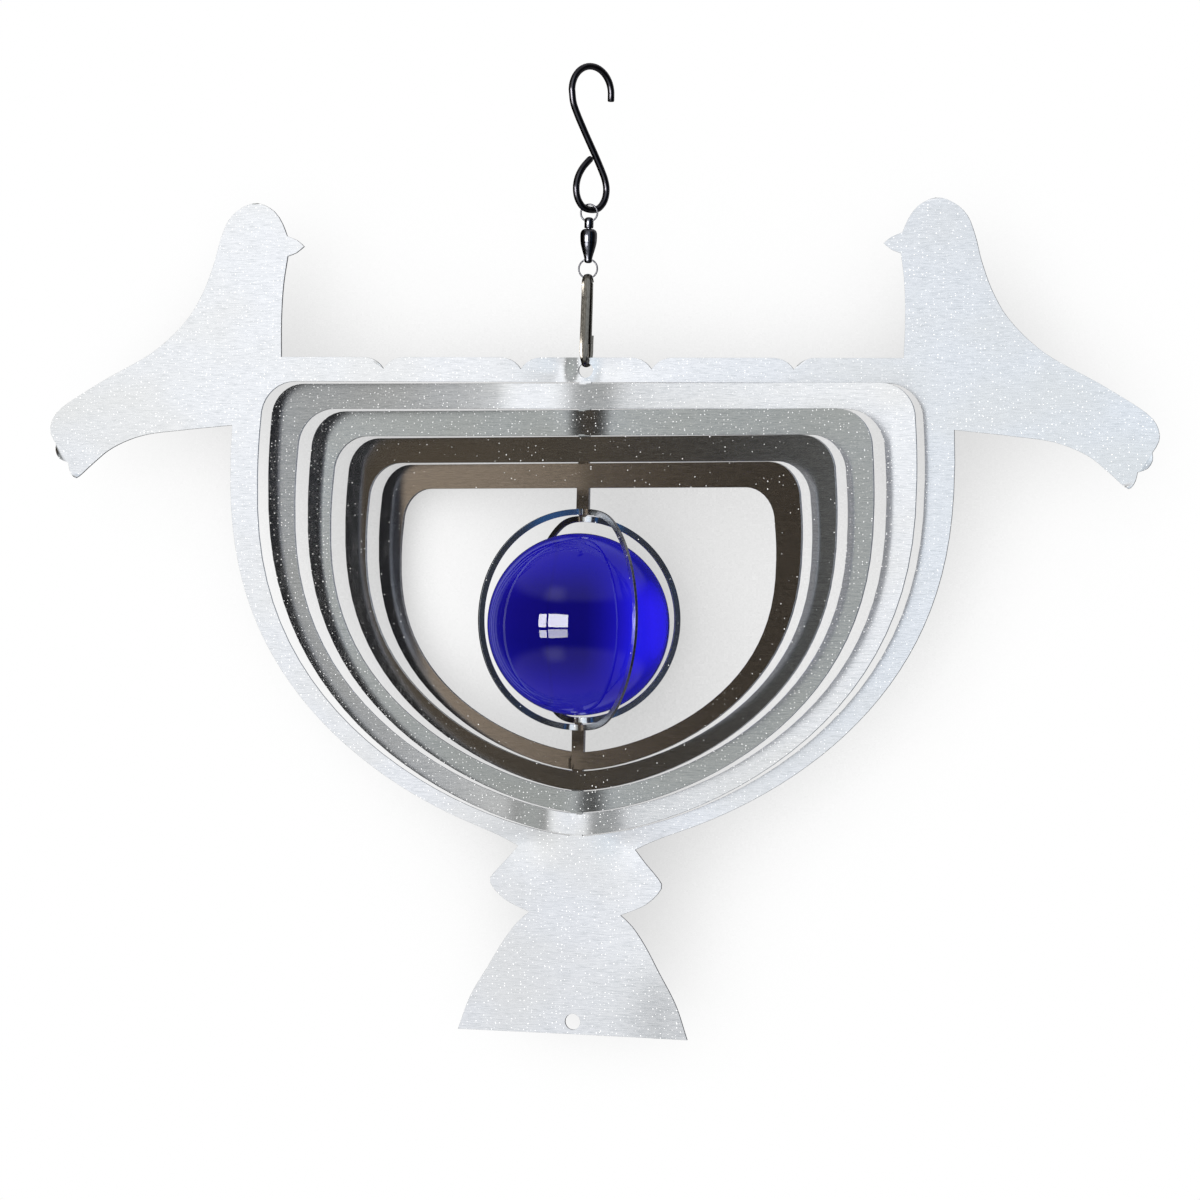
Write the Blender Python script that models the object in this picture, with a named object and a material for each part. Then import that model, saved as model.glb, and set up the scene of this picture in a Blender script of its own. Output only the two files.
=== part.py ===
"""Wind spinner: two doves on a bird bath, nested turning rings and a caged glass ball, hung on a swivel.

Blender 4.5. Dimensions are in millimetres and MM turns them into Blender's metres. +Z is up, X runs along
the sheet and -Y is its front. The origin is where the hanger hook rests on its support. Heights named
"above the rim" are measured from the flat rim of the bird bath.
"""
import math

import bmesh
import bpy
from mathutils import Matrix, Vector

MM = 0.001

# Sheet
SHEET_THICKNESS = 0.8
RIM_Z = -79.0                  # the flat rim below the hanging point
KERF = 0.3                     # width of the laser cut between two rings
BASE_DROP = 185.4              # rim down to the lower edge of the base
TOP_HOLE = (3.5, 2.05)         # drop below the rim, radius
BASE_HOLE = (182.0, 2.2)

# Bird bath bowl: half width, then drops to the widest level and to the bottom, and the two curve powers
BOWL_OUTER = (102.8, 28.0, 135.5, 2.45, 1.55)
BOWL_END_ANGLE = 68.0          # where the bowl's curve gives way to the neck
NOTCH_CENTRES = (18.6, 58.3)
NOTCH_DEPTH = 3.2
NOTCH_HALF_WIDTH = 5.8

# Edges between the frame and the rings, from the outside in:
# half width, drop to the top edge, drop to the widest level, drop to the bottom, corner radius
RING_EDGES = (
    (94.8, 6.8, 33.0, 131.2, 10.0),
    (86.3, 14.1, 40.0, 125.0, 11.0),
    (78.7, 21.4, 45.0, 119.0, 10.5),
    (71.3, 28.7, 50.0, 113.4, 10.5),
    (63.2, 35.8, 55.0, 108.2, 9.5),
)
RING_POWERS = (2.4, 1.58)
SIDE_LEAN = 0.7                # how far the sides draw in between the widest level and the top

# Turn of each ring about the vertical axis, right side towards the front: left half, right half
RING_TURNS = ((3.9, 8.5), (9.4, 11.2), (14.6, 16.0), (19.6, 20.2))

# Turns of the two halves of each cage hoop: the outer hoop is folded forwards, the inner one backwards
CAGE_OUTER_TURNS = (-38.0, 46.0)
CAGE_INNER_TURNS = (43.0, -31.0)

# Cage and ball
CAGE_DROP = 71.9               # rim down to the cage's centre
CAGE_OUTER_RADIUS = 30.4
CAGE_HOOP_WIDTH = 1.65
HOOP_SEGMENTS = 80
NECK_WIDTH = 4.0
BALL_RADIUS = 25.0
BALL_CENTRE = (-0.8, 0.4, -73.2)   # last value above the rim

# Hanger hook: wire radius, radius of the open hook, and the turn of its plane about the vertical axis
HOOK_WIRE = 0.925
HOOK_RADIUS = 7.0
HOOK_TURN = 55.0
HOOK_TIP = 2.0                 # straight length at the open end
# Shank and eye below the open hook: distance across the hook's plane, height above the rim
HOOK_SHANK = (
    (-6.4, 69.4), (-4.9, 66.3), (-2.8, 62.8), (-0.6, 59.3), (1.85, 55.5), (3.9, 52.1), (5.4, 49.2),
    (6.0, 46.3), (5.3, 43.4), (3.3, 41.2), (0.5, 40.6), (-2.3, 41.2), (-4.2, 43.4), (-4.8, 46.3),
    (-4.2, 49.2), (-2.5, 52.0), (0.3, 54.8),
)

# Swivel, heights above the rim
UPPER_RING = (39.68, 2.35, 0.25)   # centre height, mean radius, wire radius
LOWER_RING = (24.35, 2.615, 0.235)
RING_CLEARANCE = 0.3
BEARING_BALLS = 8
BEARING_BALL_RADIUS = 0.42
BEARING_PITCH_RADIUS = 1.33
BEARING_HEIGHT = 33.17
# Radius and height along the half section
STEM_PROFILE = (
    (0.0, 38.5), (0.75, 38.4), (1.15, 38.1), (1.25, 37.7), (1.25, 35.7), (1.1, 35.5), (0.7, 35.5),
    (0.7, 32.55), (1.6, 32.55), (1.6, 32.1), (1.0, 31.4), (0.0, 31.4),
)
BARREL_PROFILE = (
    (0.0, 25.9), (0.7, 25.95), (1.05, 26.25), (1.1, 27.2), (1.45, 28.5), (1.95, 30.1), (2.25, 31.4),
    (2.3, 32.4), (2.3, 34.2), (2.1, 34.8), (1.5, 35.2), (0.95, 35.2), (0.95, 33.8), (1.9, 33.8),
    (1.9, 31.4), (1.2, 29.4), (0.0, 29.4),
)

# Snap clip, heights above the rim; its plane is square to the sheet
SNAP_THICKNESS = 0.7
SNAP_WIDTH = 2.4
SNAP_HOLE_TAPER = (0.7, 1.5, 3.0)  # narrowing through the sheet's hole: amount, where it starts, over what
SNAP_EYE_TAPER = 0.6           # narrowing over the swivel's ring
SNAP_LEG = 2.65                # distance from the axis to each leg
SNAP_BEND_TOP = 0.3            # height of the centre of the lower bend
SNAP_EYE_RADIUS = 1.85
SNAP_EYE_CENTRE = 20.8
SNAP_EYE_BACK = 0.1            # the eye's centre lies this far behind the axis
# Runs of the strip: distance in front of the axis, height
SNAP_BEAK = ((-2.85, 6.2), (-2.65, 4.6))
SNAP_FRONT = ((2.6, 5.0), (2.15, 12.0), (1.8, 17.5))
GATE_RUN = ((-1.9, 15.0), (-1.7, 8.0), (-1.6, 3.9))
GATE_ROOT = -1.95
GATE_THICKNESS = 0.5
GATE_WIDTH = 2.0

# Dove on the right, from the rim upwards and round to the bowl, as smooth runs between corners:
# distance from the axis, height above the rim
DOVE_RUNS = (
    ((88.4, 0.0), (88.6, 10.3), (88.2, 20.0), (87.1, 28.2)),
    ((87.1, 28.2), (84.6, 29.1), (82.3, 30.9)),
    ((82.3, 30.9), (84.4, 32.6), (87.4, 33.8)),
    ((87.4, 33.8), (88.8, 37.2), (91.4, 40.8), (96.2, 43.1), (101.0, 41.8), (104.9, 38.3), (107.2, 32.7),
     (109.1, 25.7), (112.4, 17.3), (117.4, 9.6), (126.8, 1.2), (141.6, -6.9), (153.6, -14.3),
     (156.9, -18.4), (157.2, -21.8), (155.5, -24.9)),
    ((155.5, -24.9), (155.6, -27.0), (154.3, -29.1), (151.7, -30.1)),
    ((151.7, -30.1), (151.2, -32.4), (149.9, -34.3), (148.4, -34.0), (144.2, -30.3), (138.3, -25.8),
     (129.4, -22.3), (117.5, -20.7), (102.5, -19.2)),
)

# Neck, collar and base on the right
PEDESTAL_RUNS = (
    ((24.6, -130.7), (20.4, -132.5), (16.6, -134.4)),
    ((16.6, -134.4), (19.9, -138.3), (23.4, -142.1), (24.3, -144.8), (20.1, -149.2), (13.0, -152.4)),
    ((13.0, -152.4), (16.4, -155.4), (20.2, -160.5), (24.3, -167.4), (29.4, -176.1), (32.8, -185.4)),
)


def smooth_run(points, step):
    """Points about one step apart on a smooth curve through the given ones (Catmull-Rom)."""
    ends = [Vector(p) for p in points]
    ends = [2 * ends[0] - ends[1]] + ends + [2 * ends[-1] - ends[-2]]
    run = []
    for before, start, end, after in zip(ends, ends[1:], ends[2:], ends[3:]):
        count = max(2, round((end - start).length / step))
        for i in range(count):
            t = i / count
            run.append(0.5 * (2 * start + (end - before) * t
                              + (2 * before - 5 * start + 4 * end - after) * t ** 2
                              + (3 * start - before - 3 * end + after) * t ** 3))
    return run + [ends[-2]]


def arc(centre, radius, start, end, count):
    """Points on a circular arc between two angles in degrees."""
    angles = [math.radians(start + (end - start) * i / count) for i in range(count + 1)]
    return [Vector((centre[0] + radius * math.cos(a), centre[1] + radius * math.sin(a))) for a in angles]


def bowl_curve(half_width, widest, bottom, powers, start, end, count):
    """Right side of a bowl, from its widest level (start 0) towards the bottom centre (end 90)."""
    points = []
    for i in range(count + 1):
        angle = math.radians(start + (end - start) * i / count)
        x = half_width * max(math.cos(angle), 0.0) ** (2 / powers[1])
        drop = widest + (bottom - widest) * math.sin(angle) ** (2 / powers[0])
        points.append(Vector((x, -drop)))
    return points


def mirrored(right_half):
    """A closed outline from its right half, which runs from the top centre to the bottom centre."""
    left_half = [Vector((-p.x, p.y)) for p in reversed(right_half) if p.x > 1e-6]
    return right_half + left_half


def ring_outline(edge, inset):
    """Bowl-shaped ring edge, drawn in by an inset all round."""
    half_width, top, widest, bottom, corner = edge
    half_width -= inset
    top += inset
    bottom -= inset
    corner -= inset
    shoulder = half_width - SIDE_LEAN
    right = [Vector((0.0, -top))]
    right += arc((shoulder - corner, -top - corner), corner, 90, 0, 9)
    side_levels = 4
    for i in range(1, side_levels):
        share = i / side_levels
        x = half_width - SIDE_LEAN * (1 - share) ** 2
        right.append(Vector((x, -(top + corner) - (widest - top - corner) * share)))
    right += bowl_curve(half_width, widest, bottom, RING_POWERS, 0, 90, 26)
    return mirrored(right)


def rim_notch(centre):
    """Two convex shoulders that meet in a V-notch in the rim."""
    half_angle = 2 * math.atan(NOTCH_DEPTH / NOTCH_HALF_WIDTH)
    radius = NOTCH_HALF_WIDTH / math.sin(half_angle)
    slope = math.degrees(half_angle)
    down = arc((centre - NOTCH_HALF_WIDTH, -radius), radius, 90, 90 - slope, 5)
    up = arc((centre + NOTCH_HALF_WIDTH, -radius), radius, 90 + slope, 90, 5)
    return down + up[1:]


def frame_outline():
    """Outer edge of the frame: rim with notches, dove, bowl, collar and base, mirrored."""
    right = [Vector((0.0, 0.0))]
    for centre in NOTCH_CENTRES:
        right += rim_notch(centre)
    for run in DOVE_RUNS:
        right += smooth_run(run, 1.9)[:-1]
    right.append(Vector(DOVE_RUNS[-1][-1]))
    half_width, widest, bottom, *powers = BOWL_OUTER
    right += bowl_curve(half_width, widest, bottom, powers, 0, BOWL_END_ANGLE, 28)
    for run in PEDESTAL_RUNS:
        right += smooth_run(run, 2.2)[:-1]
    right.append(Vector(PEDESTAL_RUNS[-1][-1]))
    right.append(Vector((0.0, -BASE_DROP)))
    return mirrored(right)


def circle(drop, radius, count):
    """Round outline centred on the axis."""
    return arc((0.0, -drop), radius, 0, 360 - 360 / count, count - 1)


def material(name, colour, roughness, metallic, transmission=0.0):
    """Principled material for one kind of piece."""
    mat = bpy.data.materials.new(name)
    mat.use_nodes = True
    shader = mat.node_tree.nodes["Principled BSDF"]
    shader.inputs["Base Color"].default_value = (*colour, 1.0)
    shader.inputs["Roughness"].default_value = roughness
    shader.inputs["Metallic"].default_value = metallic
    shader.inputs["Transmission Weight"].default_value = transmission
    mat.diffuse_color = (*colour, 1.0)
    return mat


def finish(name, bm, mat, smooth_angle=None):
    """Turn a bmesh, drawn in millimetres, into a named object in metres."""
    bmesh.ops.recalc_face_normals(bm, faces=bm.faces)
    bmesh.ops.scale(bm, vec=(MM, MM, MM), verts=bm.verts)
    mesh = bpy.data.meshes.new(name)
    bm.to_mesh(mesh)
    bm.free()
    if smooth_angle is not None:
        mesh.shade_smooth()
        mesh.set_sharp_from_angle(angle=math.radians(smooth_angle))
    obj = bpy.data.objects.new(name, mesh)
    obj.data.materials.append(mat)
    bpy.context.collection.objects.link(obj)
    return obj


def place(obj, height_above_rim, turn=0.0):
    """Put an object on the vertical axis, its front turned about that axis."""
    obj.location = (0.0, 0.0, (RIM_Z + height_above_rim) * MM)
    obj.rotation_euler = (0.0, 0.0, math.radians(-turn))
    return obj


def sheet_piece(name, loops, left_turn, right_turn, mat):
    """Piece of the sheet between closed outlines, the first one outermost, each half at its own turn."""
    bm = bmesh.new()
    edges = []
    for loop in loops:
        verts = [bm.verts.new((p.x, -SHEET_THICKNESS / 2, p.y)) for p in loop]
        edges += [bm.edges.new(pair) for pair in zip(verts, verts[1:] + verts[:1])]
    bmesh.ops.triangle_fill(bm, edges=edges, use_beauty=True)
    back = bmesh.ops.extrude_face_region(bm, geom=bm.faces[:])
    verts = [item for item in back["geom"] if isinstance(item, bmesh.types.BMVert)]
    bmesh.ops.translate(bm, verts=verts, vec=(0, SHEET_THICKNESS, 0))
    turn = (left_turn + right_turn) / 2
    fold = math.radians(right_turn - left_turn) / 2
    if fold:
        parts = bm.verts[:] + bm.edges[:] + bm.faces[:]
        bmesh.ops.bisect_plane(bm, geom=parts, plane_co=(0, 0, 0), plane_no=(1, 0, 0))
        for vert in bm.verts:
            if abs(vert.co.x) > 1e-4:
                vert.co.rotate(Matrix.Rotation(-math.copysign(fold, vert.co.x), 3, "Z"))
    return place(finish(name, bm, mat), 0.0, turn)


def hoop(name, outer_radius, turns, mat):
    """Thin round hoop of the cage, cut from the sheet and folded about the axis."""
    outer = circle(CAGE_DROP, outer_radius, HOOP_SEGMENTS)
    inner = circle(CAGE_DROP, outer_radius - CAGE_HOOP_WIDTH, HOOP_SEGMENTS)
    return sheet_piece(name, (outer, inner), *turns, mat)


def twisted_neck(name, top, bottom, top_turn, bottom_turn, mat):
    """Strip of sheet on the axis that twists from one turn to the next along its length."""
    bm = bmesh.new()
    steps = 8
    half = (NECK_WIDTH / 2, SHEET_THICKNESS / 2)
    corners = ((-half[0], -half[1]), (half[0], -half[1]), (half[0], half[1]), (-half[0], half[1]))
    rows = []
    for i in range(steps + 1):
        share = i / steps
        turn = Matrix.Rotation(math.radians(-(top_turn + (bottom_turn - top_turn) * share)), 3, "Z")
        height = top + (bottom - top) * share
        rows.append([bm.verts.new(turn @ Vector((x, y, 0)) + Vector((0, 0, height))) for x, y in corners])
    for upper, lower in zip(rows, rows[1:]):
        for i in range(4):
            bm.faces.new((upper[i], upper[(i + 1) % 4], lower[(i + 1) % 4], lower[i]))
    bm.faces.new(rows[0])
    bm.faces.new(rows[-1])
    return place(finish(name, bm, mat), 0.0)


def turned(name, profile, segments, mat):
    """Solid of revolution about the vertical axis; the profile holds radius and height pairs."""
    bm = bmesh.new()
    verts = [bm.verts.new((r, 0, z)) for r, z in profile]
    edges = [bm.edges.new(pair) for pair in zip(verts, verts[1:])]
    bmesh.ops.spin(bm, geom=verts + edges, cent=(0, 0, 0), axis=(0, 0, 1), angle=math.tau,
                   steps=segments, use_merge=True)
    bmesh.ops.remove_doubles(bm, verts=bm.verts, dist=0.001)
    return place(finish(name, bm, mat, smooth_angle=35), 0.0)


def torus(name, mean_radius, wire_radius, segments, sides, mat):
    """Wire ring that stands in the plane of the sheet, centred on its own origin."""
    bm = bmesh.new()
    verts = []
    for i in range(sides):
        angle = math.tau * i / sides
        verts.append(bm.verts.new((mean_radius + wire_radius * math.cos(angle),
                                   wire_radius * math.sin(angle), 0)))
    edges = [bm.edges.new(pair) for pair in zip(verts, verts[1:] + verts[:1])]
    bmesh.ops.spin(bm, geom=verts + edges, cent=(0, 0, 0), axis=(0, 1, 0), angle=math.tau,
                   steps=segments, use_merge=True)
    bmesh.ops.remove_doubles(bm, verts=bm.verts, dist=0.001)
    return finish(name, bm, mat, smooth_angle=60)


def sphere(name, radius, segments, rings, mat):
    """Glass or steel ball about its own centre."""
    bm = bmesh.new()
    bmesh.ops.create_uvsphere(bm, u_segments=segments, v_segments=rings, radius=radius)
    return finish(name, bm, mat, smooth_angle=60)


def hook_route():
    """Centre line of the hanger wire: distance across its plane and height above the rim."""
    crown = -RIM_Z + HOOK_WIRE - HOOK_RADIUS
    tip = [Vector((HOOK_RADIUS, crown - HOOK_TIP))]
    crown_arc = arc((0.0, crown), HOOK_RADIUS, 0, 180, 18)
    return tip + crown_arc + smooth_run(((-HOOK_RADIUS, crown), *HOOK_SHANK), 1.3)[1:]


def hanger_hook(mat):
    """S-hook bent from round wire: open hook above, closed teardrop eye below."""
    curve = bpy.data.curves.new("hanger_hook", "CURVE")
    curve.dimensions = "3D"
    curve.bevel_depth = HOOK_WIRE * MM
    curve.bevel_resolution = 4
    curve.use_fill_caps = True
    route = hook_route()
    spline = curve.splines.new("POLY")
    spline.points.add(len(route) - 1)
    for point, (across, height) in zip(spline.points, route):
        point.co = (across * MM, 0.0, (height + RIM_Z) * MM, 1.0)
        point.radius = 1.0
    obj = bpy.data.objects.new("hanger_hook", curve)
    obj.rotation_euler = (0.0, 0.0, math.radians(HOOK_TURN))
    curve.materials.append(mat)
    bpy.context.collection.objects.link(obj)
    return obj


def ring_channel(name, target, ring):
    """Curved bore through a swivel end that clears the ring which passes through it."""
    height, mean_radius, wire_radius = ring
    cutter = torus(name, mean_radius, wire_radius + RING_CLEARANCE, 32, 10, target.data.materials[0])
    cutter.location = (0.0, 0.0, (RIM_Z + height) * MM)
    cutter.hide_render = True
    cutter.display_type = "WIRE"
    cut = target.modifiers.new("ring channel", "BOOLEAN")
    cut.operation = "DIFFERENCE"
    cut.object = cutter


def swivel(dark, bright):
    """Ball-bearing swivel: stem with a head, balls on the head, and a barrel that rests on the balls."""
    stem = turned("swivel_stem", STEM_PROFILE, 20, dark)
    ring_channel("stem_channel", stem, UPPER_RING)
    barrel = turned("swivel_barrel", BARREL_PROFILE, 24, dark)
    ring_channel("barrel_channel", barrel, LOWER_RING)
    for i in range(BEARING_BALLS):
        angle = math.tau * i / BEARING_BALLS
        ball = sphere(f"swivel_ball_{i + 1}", BEARING_BALL_RADIUS, 10, 6, bright)
        ball.location = (BEARING_PITCH_RADIUS * math.cos(angle) * MM,
                         BEARING_PITCH_RADIUS * math.sin(angle) * MM, (RIM_Z + BEARING_HEIGHT) * MM)
    for name, (height, mean_radius, wire_radius) in (("swivel_upper_ring", UPPER_RING),
                                                     ("swivel_lower_ring", LOWER_RING)):
        place(torus(name, mean_radius, wire_radius, 28, 8, bright), height)


def bent_strip(name, route, thickness, width_at, mat):
    """Flat strip bent in the plane square to the sheet; the route holds distance to the front and height."""
    bm = bmesh.new()
    rows = []
    for i, point in enumerate(route):
        ahead = route[min(i + 1, len(route) - 1)] - route[max(i - 1, 0)]
        normal = Vector((-ahead.y, ahead.x)).normalized() * thickness / 2
        half = width_at(point) / 2
        row = []
        for x, side in ((-half, 1), (half, 1), (half, -1), (-half, -1)):
            front, height = point + normal * side
            row.append(bm.verts.new((x, -front, height)))
        rows.append(row)
    for upper, lower in zip(rows, rows[1:]):
        for i in range(4):
            bm.faces.new((upper[i], upper[(i + 1) % 4], lower[(i + 1) % 4], lower[i]))
    bm.faces.new(rows[0])
    bm.faces.new(rows[-1])
    return place(finish(name, bm, mat, smooth_angle=35), 0.0)


def snap_width(point):
    """The strip is drawn in where it passes through the sheet's hole and over the swivel's ring."""
    amount, start, over = SNAP_HOLE_TAPER
    if point.y < start:
        return SNAP_WIDTH - amount * min(1.0, (start - point.y) / over)
    if point.y > SNAP_EYE_CENTRE:
        return SNAP_WIDTH - SNAP_EYE_TAPER * min(1.0, (point.y - SNAP_EYE_CENTRE) / SNAP_EYE_RADIUS)
    return SNAP_WIDTH


def snap(mat):
    """Spring-steel snap: hook and eye in one strip, and the sprung leg that closes the hook."""
    beak = smooth_run((*SNAP_BEAK, (-SNAP_LEG, SNAP_BEND_TOP)), 1.6)
    bend = arc((0.0, SNAP_BEND_TOP), SNAP_LEG, 180, 360, 14)
    leg = smooth_run(((SNAP_LEG, SNAP_BEND_TOP), *SNAP_FRONT,
                      (SNAP_EYE_RADIUS - SNAP_EYE_BACK, SNAP_EYE_CENTRE)), 2.5)
    eye = arc((-SNAP_EYE_BACK, SNAP_EYE_CENTRE), SNAP_EYE_RADIUS, 0, 180, 12)
    bent_strip("snap_body", beak + bend[1:] + leg[1:] + eye[1:], SNAP_THICKNESS, snap_width, mat)
    gate = smooth_run(((GATE_ROOT, SNAP_EYE_CENTRE - KERF), *GATE_RUN), 2.2)
    bent_strip("snap_gate", gate, GATE_THICKNESS, lambda point: GATE_WIDTH, mat)


def sheet_parts(steel):
    """Frame, nested rings, necks and cage hoops, all cut from one sheet and turned about the axis."""
    holes = [circle(drop, radius, 20) for drop, radius in (TOP_HOLE, BASE_HOLE)]
    frame = [frame_outline(), ring_outline(RING_EDGES[0], 0.0)]
    sheet_piece("frame_plate", frame + holes, 0.0, 0.0, steel)
    for i, (left_turn, right_turn) in enumerate(RING_TURNS):
        loops = (ring_outline(RING_EDGES[i], KERF), ring_outline(RING_EDGES[i + 1], 0.0))
        sheet_piece(f"ring_{i + 1}", loops, left_turn, right_turn, steel)
    hoop("cage_outer_ring", CAGE_OUTER_RADIUS, CAGE_OUTER_TURNS, steel)
    hoop("cage_inner_ring", CAGE_OUTER_RADIUS - CAGE_HOOP_WIDTH - KERF, CAGE_INNER_TURNS, steel)
    opening = RING_EDGES[-1]
    ring_turn = sum(RING_TURNS[-1]) / 2
    hoop_turn = sum(CAGE_OUTER_TURNS) / 2
    twisted_neck("upper_neck", -opening[1] - KERF, -CAGE_DROP + CAGE_OUTER_RADIUS + KERF,
                 ring_turn, hoop_turn, steel)
    twisted_neck("lower_neck", -opening[3] + KERF, -CAGE_DROP - CAGE_OUTER_RADIUS - KERF,
                 ring_turn, hoop_turn, steel)


def main():
    for obj in list(bpy.data.objects):
        bpy.data.objects.remove(obj, do_unlink=True)
    steel = material("brushed_steel", (0.78, 0.80, 0.82), 0.32, 1.0)
    dark = material("dark_nickel", (0.09, 0.09, 0.10), 0.28, 1.0)
    bright = material("bright_steel", (0.55, 0.55, 0.56), 0.2, 1.0)
    glass = material("cobalt_glass", (0.01, 0.02, 0.55), 0.03, 0.0, transmission=0.8)
    hanger_hook(dark)
    swivel(dark, bright)
    snap(dark)
    sheet_parts(steel)
    ball = sphere("glass_ball", BALL_RADIUS, 40, 24, glass)
    ball.location = (BALL_CENTRE[0] * MM, BALL_CENTRE[1] * MM, (RIM_Z + BALL_CENTRE[2]) * MM)


main()
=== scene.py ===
"""Looks of the wind spinner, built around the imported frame.

Lengths named in millimetres are turned into metres by MM. X runs along the sheet, -Y is its front and +Z is
up. A turn is an angle in degrees about the vertical axis that brings the right side of a piece towards the
front.
"""
import math

import bmesh
import bpy
from mathutils import Matrix, Vector


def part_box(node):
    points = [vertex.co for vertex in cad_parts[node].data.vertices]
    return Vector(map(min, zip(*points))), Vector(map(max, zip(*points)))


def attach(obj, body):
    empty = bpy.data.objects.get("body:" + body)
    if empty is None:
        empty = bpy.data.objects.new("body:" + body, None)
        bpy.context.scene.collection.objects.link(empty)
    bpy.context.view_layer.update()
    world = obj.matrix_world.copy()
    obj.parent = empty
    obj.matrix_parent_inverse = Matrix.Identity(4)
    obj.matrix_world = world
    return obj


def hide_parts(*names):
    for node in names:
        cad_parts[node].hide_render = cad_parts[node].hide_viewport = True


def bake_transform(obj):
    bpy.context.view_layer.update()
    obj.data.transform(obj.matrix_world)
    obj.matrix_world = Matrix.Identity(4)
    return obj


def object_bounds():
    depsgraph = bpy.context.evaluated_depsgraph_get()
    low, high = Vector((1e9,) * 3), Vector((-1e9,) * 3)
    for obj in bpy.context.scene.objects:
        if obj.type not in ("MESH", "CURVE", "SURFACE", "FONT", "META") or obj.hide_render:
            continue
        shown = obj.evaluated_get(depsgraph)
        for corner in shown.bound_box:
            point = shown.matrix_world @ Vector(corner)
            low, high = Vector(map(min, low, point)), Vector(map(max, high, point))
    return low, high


MM = 0.001

# Sheet metal
SHEET_THICKNESS = 0.8
KERF = 0.3
EDGE_ROUNDING = 0.07
BRIDGE_WIDTH = 3.4
NEAR_AXIS = 26                 # lines cut the sheet at every millimetre within this distance of the axis
COARSE_STEP = 6.0              # and more coarsely out to the birds' tails
COARSE_COUNT = 23
LOOSE_ENDS = 0.04              # corners closer together than this after the cuts are merged
CUT_DROPS = (-38, -30, -22, -14, -7, 6, 20, 40, 60, 80, 100, 115, 125, 128, 131, 134, 137, 141, 150, 165)
BEND_REACH = 8.0               # half length over which the left half's turn gives way to the right half's
OVERLAP = 0.3                  # how far a bridge reaches into the sheet on either side
STRIP_STEP = 0.3
STRIP_STEPS = 4                # a strip has at least so many steps

# Plates from the outside in: node, body, turns of the CAD halves, turns of the bent halves
PLATES = (
    ("frame_plate", "plate", (0.0, 0.0), (0.0, 0.0)),
    ("ring_1", "first_ring", (3.9, 8.5), (4.8, 5.0)),
    ("ring_2", "second_ring", (9.4, 11.2), (9.8, 11.2)),
    ("ring_3", "third_ring", (14.6, 16.0), (15.6, 15.9)),
    ("ring_4", "fourth_ring", (19.6, 20.2), (20.4, 20.0)),
)

# Creases where a bridge or a knock has bent the sheet, each upright across a bar: plate, drop below the rim
# and half height, place across, half width, extra turn, and how far from the axis the bend dies away
TOP = (0.0, 45.0)
BOTTOM = (131.0, 30.0)
WIDE = 200.0
CREASES = (
    ("frame_plate", (3.0, 5.0), -4.6, 2.8, 13.0, 14.0),
    ("frame_plate", (3.0, 5.0), 1.8, 2.2, -9.0, 14.0),
    ("frame_plate", (133.0, 4.0), -9.0, 4.0, 5.0, 24.0),
    ("frame_plate", (133.0, 4.0), 9.0, 4.0, -5.0, 24.0),
    ("frame_plate", (176.0, 26.0), 26.0, 20.0, 5.6, WIDE),
    ("ring_1", TOP, -15.5, 7.0, -4.6, WIDE),
    ("ring_1", TOP, 2.0, 7.0, 2.0, WIDE),
    ("ring_1", BOTTOM, -13.0, 5.0, 3.6, WIDE),
    ("ring_1", BOTTOM, -2.5, 4.5, -5.2, WIDE),
    ("ring_1", BOTTOM, 8.0, 5.0, 2.5, WIDE),
    ("ring_2", TOP, 0.0, 7.0, 5.8, WIDE),
    ("ring_2", BOTTOM, 4.0, 7.0, 3.0, WIDE),
)

# Cage hoops, bent smoothly about the axis. Each bend gives, for the left half and for the right half, the
# turn, how far from the axis most of it is reached, above and below the ball's middle, and a last curl
CAGE_AXIS_TURN = 17.5
HOOP_SHARPNESS = 1.35
HOOP_STEPS = 200
CAGE_OUTER_BENDS = ((-33.0, 0.3, 4.2, -6.5), (46.0, 11.0, 11.0, 0.0))
CAGE_INNER_BENDS = ((43.0, 7.0, 7.0, 0.0), (-31.0, 3.5, 3.3, 0.0))
CAGE_BRIDGE_WIDTH = 2.2
CAGE_RADIUS = 30.4
CAGE_HOOP_WIDTH = 1.65
NECK_WIDTH = 4.0
NECK_INTO_RING = 0.5

# Hanger hook: wire radius, radius of the open hook and turn of its plane
HOOK_WIRE = 0.925
HOOK_RADIUS = 7.0
HOOK_TURN = 55.0

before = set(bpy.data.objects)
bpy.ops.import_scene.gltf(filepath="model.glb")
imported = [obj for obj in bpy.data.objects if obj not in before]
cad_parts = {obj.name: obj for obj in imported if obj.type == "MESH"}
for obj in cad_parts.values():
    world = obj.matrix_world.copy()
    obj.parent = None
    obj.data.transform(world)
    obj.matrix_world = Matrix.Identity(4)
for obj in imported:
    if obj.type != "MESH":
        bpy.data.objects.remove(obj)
CAD_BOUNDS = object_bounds()


# ---------------------------------------------------------------- mesh helpers

def new_piece(name, bm, mats, smooth_angle=40):
    """Named mesh object in metres from a bmesh, shaded smooth up to an angle."""
    mesh = bpy.data.meshes.new(name)
    bm.to_mesh(mesh)
    bm.free()
    mesh.shade_smooth()
    mesh.set_sharp_from_angle(angle=math.radians(smooth_angle))
    obj = bpy.data.objects.new(name, mesh)
    for mat in mats:
        mesh.materials.append(mat)
    bpy.context.scene.collection.objects.link(obj)
    return obj


def round_edges(obj, width, segments=2, angle=50):
    """Bevel along the sharp edges; the width is in metres."""
    bevel = obj.modifiers.new("rounded edges", "BEVEL")
    bevel.width = width
    bevel.segments = segments
    bevel.limit_method = "ANGLE"
    bevel.angle_limit = math.radians(angle)
    bevel.harden_normals = True


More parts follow.
